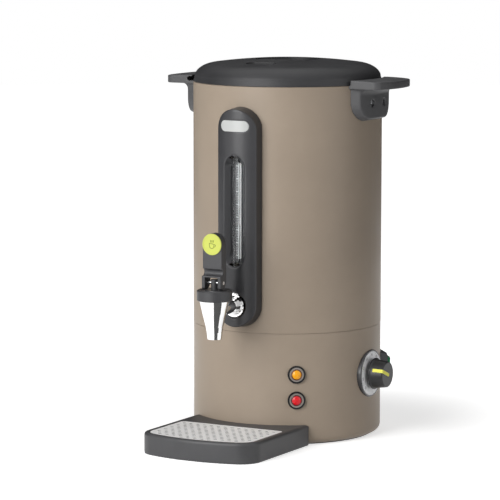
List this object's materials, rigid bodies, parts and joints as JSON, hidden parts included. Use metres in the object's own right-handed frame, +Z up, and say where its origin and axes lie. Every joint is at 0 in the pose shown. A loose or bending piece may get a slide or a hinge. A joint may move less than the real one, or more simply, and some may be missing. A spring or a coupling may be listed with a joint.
{
  "type": "hot water urn",
  "caption": "Tall catering urn for hot water: steel tank with lift-off lid, side handles, sight gauge panel, lever tap, temperature knob, lights and a loose drip tray.",
  "frame": {"origin": "on the table, under the axis of the round body", "axes": "+Z up along the body's axis; -Y towards the tap and the drip tray; +X towards the temperature knob"},
  "size_m": [0.292, 0.354, 0.4369],
  "materials": {
    "taupe_paint": "satin",
    "charcoal_plastic": "fine grain",
    "black_plastic": "satin",
    "black_gloss": "gloss",
    "chrome": "polished",
    "steel": "brushed",
    "aluminium": "as cast",
    "element_sheath": "heat stained",
    "black_rubber": "matt",
    "silicone": "satin",
    "white_plastic": "satin",
    "lime_plastic": "satin",
    "green_plastic": "gloss",
    "amber_lens": "gloss",
    "red_lens": "gloss",
    "sight_glass": "clear",
    "ceramic": "matt"
  },
  "bodies": {
    "urn": {"tank": "taupe_paint", "tank_floor": "steel", "base_skirt": "taupe_paint", "base_plate": "steel", "foot_ring": "black_rubber", "tie_rods": "steel", "tie_nuts": "steel", "handle_left": "charcoal_plastic", "handle_right": "charcoal_plastic", "handle_screws": "steel", "handle_nuts": "steel", "gauge_panel": "charcoal_plastic", "name_plate": "white_plastic", "sight_tube": "sight_glass", "gauge_scale": "steel", "tube_seal": "black_rubber", "tube_cap": "black_plastic", "gauge_tee": "chrome", "tap_body": "chrome", "tap_bonnet": "black_plastic", "shank_seals": "silicone", "shank_nut": "steel", "tap_spring": "steel", "light_bezels": "black_plastic", "light_reflectors": "chrome", "amber_lens": "amber_lens", "red_lens": "red_lens", "neon_lamps": "sight_glass", "light_clips": "steel", "dial_bezel": "black_gloss", "dial_ring": "white_plastic", "thermostat": "steel", "spindle_nut": "steel", "sensor_bulb": "steel", "switch_housing": "black_plastic", "cable_gland": "black_plastic", "gland_nut": "black_plastic", "heating_element": "element_sheath", "element_plate": "aluminium", "element_clamp": "steel", "clamp_nut": "steel", "thermal_cutout": "ceramic", "terminal_block": "white_plastic"},
    "lid": {"lid": "charcoal_plastic", "lid_seal": "silicone"},
    "tap_plunger": {"tap_stem": "black_plastic", "seat_cup": "silicone", "lever_pin": "steel"},
    "lever": {"tap_lever": "black_plastic", "lever_badge": "lime_plastic"},
    "knob": {"knob": "black_gloss", "knob_pointer": "lime_plastic", "thermostat_spindle": "steel"},
    "rocker": {"switch_key": "green_plastic"},
    "tray": {"drip_tray": "charcoal_plastic"},
    "grid": {"drip_grid": "steel"}
  },
  "joints": [
    {"name": "lid_lift", "type": "slide", "parent": "urn", "child": "lid", "axis": [0, 0, 1], "range_m": [0, 0.12]},
    {"name": "plunger_lift", "type": "slide", "parent": "urn", "child": "tap_plunger", "axis": [0, 0, 1], "range_m": [0, 0.0019], "deforming": ["tap_spring"]},
    {"name": "lever_tilt", "type": "hinge", "parent": "tap_plunger", "child": "lever", "pos_m": [0, -0.172, 0.1941], "axis": [1, 0, 0], "range_deg": [0, 40], "stiffness_Nm_per_rad": 0.0148, "springref_deg": -63.03},
    {"name": "knob_turn", "type": "hinge", "parent": "urn", "child": "knob", "pos_m": [0.11, 0, 0.075], "axis": [1, 0, 0], "range_deg": [-203, 67]},
    {"name": "switch_rock", "type": "hinge", "parent": "urn", "child": "rocker", "pos_m": [0.09873, 0.057, 0.075], "axis": [-0.5, 0.866, 0], "range_deg": [0, 16]},
    {"name": "tray_slide", "type": "slide", "parent": "urn", "child": "tray", "axis": [0, -1, 0], "range_m": [0, 0.12]},
    {"name": "grid_lift", "type": "slide", "parent": "tray", "child": "grid", "axis": [0, 0, 1], "range_m": [0, 0.06]}
  ],
  "couplings": [
    {"joint": "plunger_lift", "follows": "lever_tilt", "m_per_rad": 0.00272}
  ]
}
